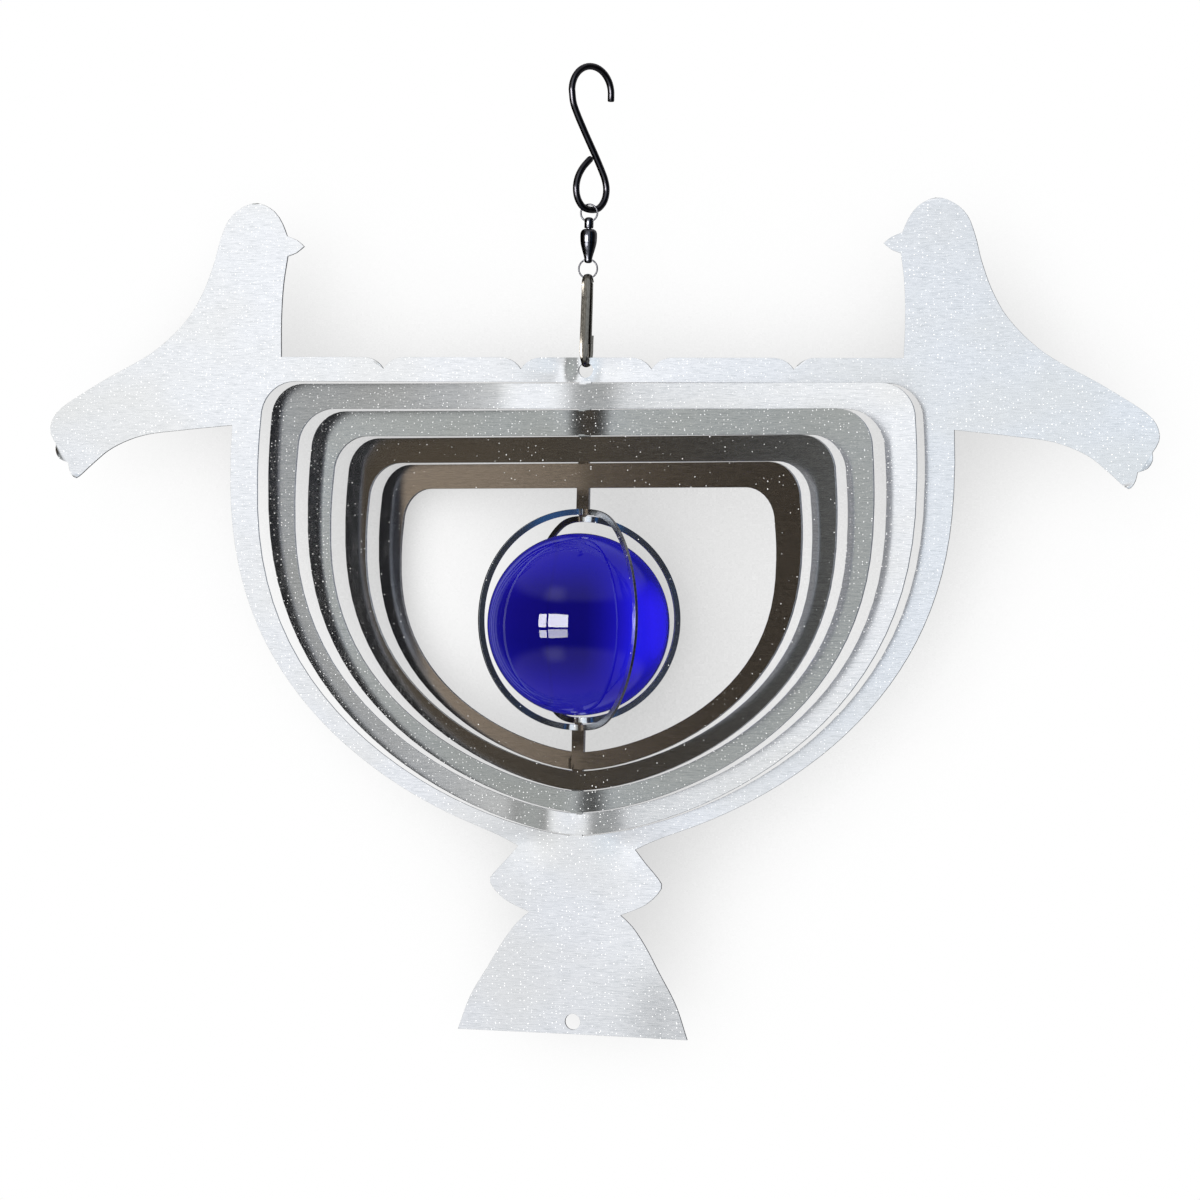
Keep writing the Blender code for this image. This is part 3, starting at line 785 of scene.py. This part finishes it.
def snap():
    """Spring snap: hook and eye in one bent strip, and the sprung leg that closes the hook."""
    radius, level = SNAP_EYE
    beak = smooth_run(SNAP_BEAK, 0.5)
    bend = arc((0.0, SNAP_BEND), SNAP_LEG, 180, 360, 32)
    leg = smooth_run(SNAP_BACK, 0.8)
    eye = arc((-0.1, level), radius, 0, 180, 28)
    body = crowned_strip("snap_strip", beak + bend[1:] + leg[1:] + eye[1:], SNAP_THICKNESS, snap_width,
                         SNAP_CROWN, STRIP_METAL)
    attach(body, "snap")
    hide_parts("snap_body")
    root = level - KERF
    gate_route = smooth_run(((GATE_ROOT, root),) + GATE_BENDS, 0.8)
    gate = crowned_strip("snap_leaf", gate_route, GATE_THICKNESS, lambda point: GATE_WIDTH, GATE_CROWN,
                         STRIP_METAL)
    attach(gate, "gate")
    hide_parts("snap_gate")
    flex_heights = [root - 0.1 + i * (KERF + 0.2) / FLEX_STEPS for i in range(FLEX_STEPS + 1)]
    flex_route = [Vector((GATE_ROOT, height)) for height in flex_heights]
    flex = crowned_strip("snap_flex", flex_route, GATE_THICKNESS, lambda point: FLEX_WIDTH, GATE_CROWN,
                         STRIP_METAL)
    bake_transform(flex)
    return [body, gate, flex]


def swivel():
    """Ball-bearing swivel with its two wire rings."""
    pieces = [turned_piece("swivel_stem", "stem", STEM_PROFILE, "swivel_upper_ring", UPPER_WIRE),
              turned_piece("swivel_barrel", "barrel", BARREL_PROFILE, "swivel_lower_ring", LOWER_WIRE),
              wire_ring("swivel_upper_ring", "upper_link", UPPER_WIRE),
              wire_ring("swivel_lower_ring", "lower_link", LOWER_WIRE)]
    for i in range(BEARING_BALLS):
        node = f"swivel_ball_{i + 1}"
        low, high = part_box(node)
        bm = bmesh.new()
        bmesh.ops.create_icosphere(bm, subdivisions=3, radius=(high.z - low.z) / 2)
        bmesh.ops.translate(bm, verts=bm.verts, vec=(low + high) / 2)
        piece = new_piece(f"bearing_ball_{i + 1}", bm, (BEARING_METAL,), smooth_angle=180)
        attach(piece, "bearing")
        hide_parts(node)
        pieces.append(piece)
    return pieces


# ---------------------------------------------------------------- studio

CAMERA_TURN = 15.0
CAMERA_RISE = -0.4
CAMERA_ROLL = 1.15
CAMERA_DISTANCE = 1.1
CAMERA_LENS = 120.39
CAMERA_SENSOR = 36.0
TARGET_RIGHT = 0.0051
TARGET_BELOW_RIM = 0.0664

BACKDROP_GAP = 0.03            # from the sheet to the card behind it
BACKDROP_HALF = 0.3
SHADE_OPEN = 1.17              # brightness of the card in the open: above white, so that faint shade is lost
SHADE_DEEP = 0.35              # and where the object covers it altogether
SHADE_REACH = 0.5
SHADE_SAMPLES = 12
SHADE_RIM = (0.08, 0.01)       # the shade fades out between these distances from the card's edges
FLOOR_RIM = (0.7, 0.98)        # the floor fades out between these shares of its radius
FLOOR_WHITE = (0.95, 0.95, 0.95, 1.0)
FLOOR_HEIGHT = -0.9
FLOOR_RADIUS = 3.0

# Brightness and tint of the surroundings by compass angle, from the front towards the right
SURROUND = (
    (-180, (0.90, 0.91, 0.93)),
    (-177, (0.60, 0.60, 0.62)),
    (-172, (0.02, 0.02, 0.022)),
    (-60.6, (0.012, 0.010, 0.009)),
    (-59.2, (0.60, 0.48, 0.36)),
    (-57.6, (0.60, 0.48, 0.36)),
    (-56.0, (0.006, 0.005, 0.004)),
    (-51.0, (0.006, 0.005, 0.004)),
    (-49.6, (0.16, 0.125, 0.085)),
    (-48.0, (0.16, 0.125, 0.085)),
    (-46.6, (0.005, 0.004, 0.004)),
    (-42.4, (0.02, 0.02, 0.018)),
    (-39, (0.88, 0.92, 0.92)),
    (-36.6, (0.46, 0.48, 0.46)),
    (-34.6, (0.42, 0.44, 0.41)),
    (-32.5, (0.62, 0.65, 0.65)),
    (-28.8, (0.34, 0.34, 0.33)),
    (-26.6, (0.36, 0.36, 0.36)),
    (-25.2, (1.26, 1.28, 1.28)),
    (-16, (1.26, 1.28, 1.32)),
    (-6, (1.20, 1.31, 1.42)),
    (28, (1.0, 1.08, 1.18)),
    (31, (0.06, 0.06, 0.07)),
    (50, (0.035, 0.035, 0.037)),
    (52.5, (0.03, 0.11, 0.30)),
    (56.5, (0.03, 0.11, 0.30)),
    (59, (0.035, 0.04, 0.045)),
    (100, (0.05, 0.05, 0.055)),
    (135, (0.70, 0.70, 0.72)),
    (165, (0.08, 0.08, 0.09)),
    (175, (0.08, 0.08, 0.09)),
    (180, (0.90, 0.91, 0.93)),
)
# Brightness of what the glass ball lets through, by compass angle
THROUGH_GLASS = (
    (-180, 0.16), (-162, 0.14), (-156, 0.24), (-148, 0.45), (-138, 0.85), (-125, 1.0), (-80, 0.95),
    (-40, 0.4), (0, 0.8), (60, 0.45), (120, 0.35), (150, 0.22), (180, 0.16),
)
OVERHEAD = (0.50, 0.50, 0.52, 1.0)
UNDERFOOT = (0.22, 0.22, 0.23, 1.0)
BLACK = (0.0, 0.0, 0.0, 1.0)
WHITE = (1.0, 1.0, 1.0, 1.0)
LEVEL_BAND = (38.0, 60.0)      # elevation where the walls give way to the ceiling and the floor
LOW_BAND = (0.0, 9.0)          # degrees below eye level over which the walls grow darker
LOW_DIMMING = 0.42             # and by how much
PICTURE_COMPASS = -8.0         # a grey panel high on the front wall
PICTURE_ASIDE = (3.0, 9.0)     # its edge to the sides
PICTURE_RISE = (5.5, 8.5)      # and its lower edge
PICTURE_GREY = (0.72, 0.72, 0.71, 1.0)
# What the polished ball reflects: a dark room with a paler ceiling and floor, a bluish wall behind the ball
# on its left, and a soft glow above and below eye level in front
CALM_WALL = (0.04, 0.04, 0.06, 1.0)
CALM_CEILING = (0.36, 0.34, 0.40, 1.0)
CALM_FLOOR = (0.35, 0.30, 0.40, 1.0)
CALM_BEHIND = (0.42, 0.44, 0.62, 1.0)
CALM_EDGE = (24.0, 36.0)
CALM_SIDE = (-0.1, 0.35)
CALM_BEHIND_EDGES = (0.3, 0.42, 0.66, 0.80)
GLOW = (1.0, 0.95, 1.05, 1.0)
GLOW_COMPASS = -20.0
GLOW_ASIDE = (0.05, 0.4)       # radians
GLOW_RISE = 37.0
GLOW_TALL = (1.0, 14.0)
# Brightness through the upper and the lower part of the ball, which bend the view down and up
GLASS_ABOVE = (0.40, 0.40, 0.40, 1.0)
GLASS_BELOW = (0.36, 0.36, 0.36, 1.0)
GLASS_ABOVE_BAND = (8.0, 35.0)
GLASS_BELOW_BAND = (8.0, 40.0)
DIFFUSE_LIGHT = (1.2, 1.2, 1.2, 1.0)


def surround_world():
    """White surroundings for the camera, walls of varying brightness for what the metal reflects."""
    world = bpy.data.worlds.new("surroundings")
    bpy.context.scene.world = world
    world.use_nodes = True
    world.cycles.sampling_method = "NONE"
    tree = world.node_tree
    tree.nodes.clear()
    n = Nodes(tree)
    direction = n.add("ShaderNodeSeparateXYZ")
    n.feed(direction.inputs[0], n.add("ShaderNodeTexCoord").outputs["Generated"])
    x, y, z = direction.outputs
    compass = n.math("ARCTAN2", x, n.math("MULTIPLY", y, -1.0))
    share = n.math("ADD", n.math("DIVIDE", compass, math.tau), 0.5)
    walls = n.ramp(share, [((angle + 180) / 360, colour) for angle, colour in SURROUND])
    rise = n.math("MULTIPLY", n.math("ARCSINE", z), 180 / math.pi)
    fall = n.math("MULTIPLY", rise, -1.0)
    walls = n.mix(n.math("MULTIPLY", n.band(fall, *LOW_BAND), LOW_DIMMING), walls, BLACK)
    degrees = n.math("MULTIPLY", compass, 180 / math.pi)
    aside = n.math("ABSOLUTE", n.math("SUBTRACT", degrees, PICTURE_COMPASS))
    within = n.math("SUBTRACT", 1.0, n.band(aside, *PICTURE_ASIDE))
    picture = n.math("MULTIPLY", within, n.band(rise, *PICTURE_RISE))
    walls = n.mix(picture, walls, PICTURE_GREY)
    up = n.band(rise, *LEVEL_BAND)
    down = n.band(fall, *LEVEL_BAND)
    room = n.mix(down, n.mix(up, walls, OVERHEAD), UNDERFOOT)

    path = n.add("ShaderNodeLightPath")
    polished = n.math("MULTIPLY", path.outputs["Is Glossy Ray"], path.outputs["Is Singular Ray"])
    calm = n.mix(n.band(rise, *CALM_EDGE), CALM_WALL, CALM_CEILING)
    calm = n.mix(n.band(fall, *CALM_EDGE), calm, CALM_FLOOR)
    to_left = n.math("SUBTRACT", 1.0, n.band(x, *CALM_SIDE))
    far = n.math("SUBTRACT", n.band(y, *CALM_BEHIND_EDGES[:2]), n.band(y, *CALM_BEHIND_EDGES[2:]))
    calm = n.mix(n.band(y, *CALM_BEHIND_EDGES[2:]), calm, CALM_WALL)
    calm = n.mix(n.math("MULTIPLY", far, to_left), calm, CALM_BEHIND)
    off_glow = n.math("ABSOLUTE", n.math("SUBTRACT", compass, math.radians(GLOW_COMPASS)))
    near_glow = n.math("SUBTRACT", 1.0, n.band(off_glow, *GLOW_ASIDE))
    height = n.math("ABSOLUTE", n.math("SUBTRACT", n.math("ABSOLUTE", rise), GLOW_RISE))
    at_glow = n.math("MULTIPLY", near_glow, n.math("SUBTRACT", 1.0, n.band(height, *GLOW_TALL)))
    calm = n.mix(at_glow, calm, GLOW)
    seen = n.mix(polished, room, calm)
    behind = n.ramp(share, [((angle + 180) / 360, (b, b, b)) for angle, b in THROUGH_GLASS])
    behind = n.mix(n.band(fall, *GLASS_ABOVE_BAND), behind, GLASS_ABOVE)
    behind = n.mix(n.band(rise, *GLASS_BELOW_BAND), behind, GLASS_BELOW)
    seen = n.mix(path.outputs["Is Transmission Ray"], seen, behind)
    soft = n.mix(path.outputs["Is Diffuse Ray"], seen, DIFFUSE_LIGHT)
    final = n.mix(path.outputs["Is Camera Ray"], soft, WHITE)
    background = n.add("ShaderNodeBackground")
    n.feed(background.inputs["Color"], final)
    output = n.add("ShaderNodeOutputWorld")
    n.feed(output.inputs["Surface"], background.outputs[0])


def stage_material(name, reach, centre):
    """Empty material for the stage, its node helper, and a value from 0 to 1 across the stage's rim."""
    mat = bpy.data.materials.new(name)
    mat.use_nodes = True
    n = Nodes(mat.node_tree)
    mat.node_tree.nodes.clear()
    offset = n.add("ShaderNodeVectorMath", operation="DISTANCE")
    n.feed(offset.inputs[0], n.add("ShaderNodeTexCoord").outputs["Object"])
    offset.inputs[1].default_value = centre
    return mat, n, n.band(offset.outputs["Value"], *reach)


def fading_white(name, reach, centre):
    """Plain white that fades out round its rim into the white surroundings."""
    mat, n, gone = stage_material(name, reach, centre)
    white = n.add("ShaderNodeBsdfDiffuse")
    white.inputs["Color"].default_value = FLOOR_WHITE
    clear = n.add("ShaderNodeBsdfTransparent")
    blend = n.add("ShaderNodeMixShader")
    n.feed(blend.inputs[0], gone)
    n.feed(blend.inputs[1], white.outputs[0])
    n.feed(blend.inputs[2], clear.outputs[0])
    n.feed(n.add("ShaderNodeOutputMaterial").inputs["Surface"], blend.outputs[0])
    return mat


def soft_shade(name, reach, centre):
    """Clear card whose front takes the soft shade of what hangs before it; from behind it is not seen."""
    mat, n, gone = stage_material(name, reach, centre)
    gone = n.math("MAXIMUM", gone, n.add("ShaderNodeNewGeometry").outputs["Backfacing"])
    sky = n.add("ShaderNodeAmbientOcclusion", samples=SHADE_SAMPLES)
    sky.inputs["Distance"].default_value = SHADE_REACH
    lit = n.math("ADD", n.math("MULTIPLY", sky.outputs["AO"], SHADE_OPEN - SHADE_DEEP), SHADE_DEEP)
    clear = n.add("ShaderNodeBsdfTransparent")
    n.feed(clear.inputs["Color"], n.mix(gone, n.math("MINIMUM", lit, 1.0), WHITE))
    n.feed(n.add("ShaderNodeOutputMaterial").inputs["Surface"], clear.outputs[0])
    return mat


def stage_quad(name, corners, mat):
    """One flat face for the stage."""
    bm = bmesh.new()
    bm.faces.new([bm.verts.new(c) for c in corners])
    obj = new_piece(name, bm, (mat,))
    return obj


def outlook(compass, rise):
    """Unit directions out from the object at a compass angle and a rise, and level across to the right."""
    a = math.radians(compass)
    e = math.radians(rise)
    outward = Vector((math.sin(a) * math.cos(e), -math.cos(a) * math.cos(e), math.sin(e)))
    return outward, Vector((math.cos(a), math.sin(a), 0))


def only_for(light_object, receivers):
    """Lets a light fall on some pieces alone."""
    group = bpy.data.collections.new(light_object.name + "_receivers")
    for obj in receivers:
        group.objects.link(obj)
    light_object.light_linking.receiver_collection = group


def panel_light(name, size, brightness, place, outward, receivers):
    """Rectangular light at a world place, facing back along a direction, for some pieces alone."""
    light = bpy.data.lights.new(name, "AREA")
    light.shape = "RECTANGLE"
    light.size, light.size_y = size
    light.energy = brightness * math.pi * size[0] * size[1]
    lamp = bpy.data.objects.new(name, light)
    lamp.matrix_world = Matrix.Translation(place) @ outward.to_track_quat("Z", "Y").to_matrix().to_4x4()
    bpy.context.scene.collection.objects.link(lamp)
    only_for(lamp, receivers)
    return lamp


SIDE_COMPASS = -45.0
SIDE_RISE = -3.0
SIDE_DISTANCE = 1.3
SIDE_SIZE = (0.50, 0.46)
SIDE_BRIGHTNESS = 14.0


def side_light(receivers):
    """Light low at the left that the ends of the snap's crowned strip catch."""
    outward, _ = outlook(SIDE_COMPASS, SIDE_RISE)
    place = outward * SIDE_DISTANCE + Vector((0, 0, RIM))
    panel_light("side_light", SIDE_SIZE, SIDE_BRIGHTNESS, place, outward, receivers)


WINDOW_COMPASS = -16.5
WINDOW_RISE = -2.5
WINDOW_DISTANCE = 1.4
PANES = (                      # across, up, width, height, brightness
    (-0.36, 0.15, 0.27, 0.38, 18.0),
    (0.16, 0.16, 0.64, 0.40, 18.0),
    (-0.34, -0.24, 0.26, 0.22, 13.0),
    (0.15, -0.23, 0.62, 0.26, 10.0),
)


def window(receivers):
    """Paned window in front, a little to the left, that only the polished pieces reflect."""
    outward, across = outlook(WINDOW_COMPASS, WINDOW_RISE)
    up = outward.cross(across)
    aim = Vector((0, 0, BALL_LEVEL))
    for i, (x, z, width, height, brightness) in enumerate(PANES):
        place = aim + outward * WINDOW_DISTANCE + across * x + up * z
        pane = panel_light(f"pane_{i + 1}", (width, height), brightness, place, outward, receivers)
        pane.visible_transmission = False


def studio(polished, strips):
    """Camera, clear card behind, pale floor far below, and lights for the polished pieces and the snap."""
    surround_world()
    scene = bpy.context.scene
    scene.view_settings.view_transform = "Standard"
    scene.view_settings.look = "None"

    middle = (CAD_BOUNDS[0] + CAD_BOUNDS[1]) / 2
    h = BACKDROP_HALF
    shade = soft_shade("card_shade", (h - SHADE_RIM[0], h - SHADE_RIM[1]), (middle.x, BACKDROP_GAP, middle.z))
    card = stage_quad("backdrop_card", [
        (middle.x - h, BACKDROP_GAP, middle.z - h), (middle.x + h, BACKDROP_GAP, middle.z - h),
        (middle.x + h, BACKDROP_GAP, middle.z + h), (middle.x - h, BACKDROP_GAP, middle.z + h)], shade)
    card.visible_glossy = False
    card.visible_diffuse = False
    card.visible_shadow = False
    card.visible_transmission = False
    r = FLOOR_RADIUS
    floor_white = fading_white("floor_white", (r * FLOOR_RIM[0], r * FLOOR_RIM[1]), (0, 0, FLOOR_HEIGHT))
    floor = stage_quad("floor", [(-r, -r, FLOOR_HEIGHT), (r, -r, FLOOR_HEIGHT), (r, r, FLOOR_HEIGHT),
                                 (-r, r, FLOOR_HEIGHT)], floor_white)
    floor.visible_glossy = False
    floor.visible_transmission = False

    window(polished)
    side_light(strips)

    back, right = outlook(CAMERA_TURN, CAMERA_RISE)
    target = right * TARGET_RIGHT + Vector((0, 0, RIM - TARGET_BELOW_RIM))
    lens = bpy.data.cameras.new("camera")
    lens.lens = CAMERA_LENS
    lens.sensor_width = CAMERA_SENSOR
    camera = bpy.data.objects.new("camera", lens)
    scene.collection.objects.link(camera)
    roll = Matrix.Rotation(math.radians(CAMERA_ROLL), 4, "Z")
    camera.matrix_world = (Matrix.Translation(target + back * CAMERA_DISTANCE)
                           @ (-back).to_track_quat("-Z", "Y").to_matrix().to_4x4() @ roll)
    scene.camera = camera


def main():
    for plate in PLATES:
        bent_plate(*plate)
    bridges()
    cage()
    polished = [glass_ball(), hanger_hook()] + swivel()
    strips = snap()
    studio(polished, strips)


main()
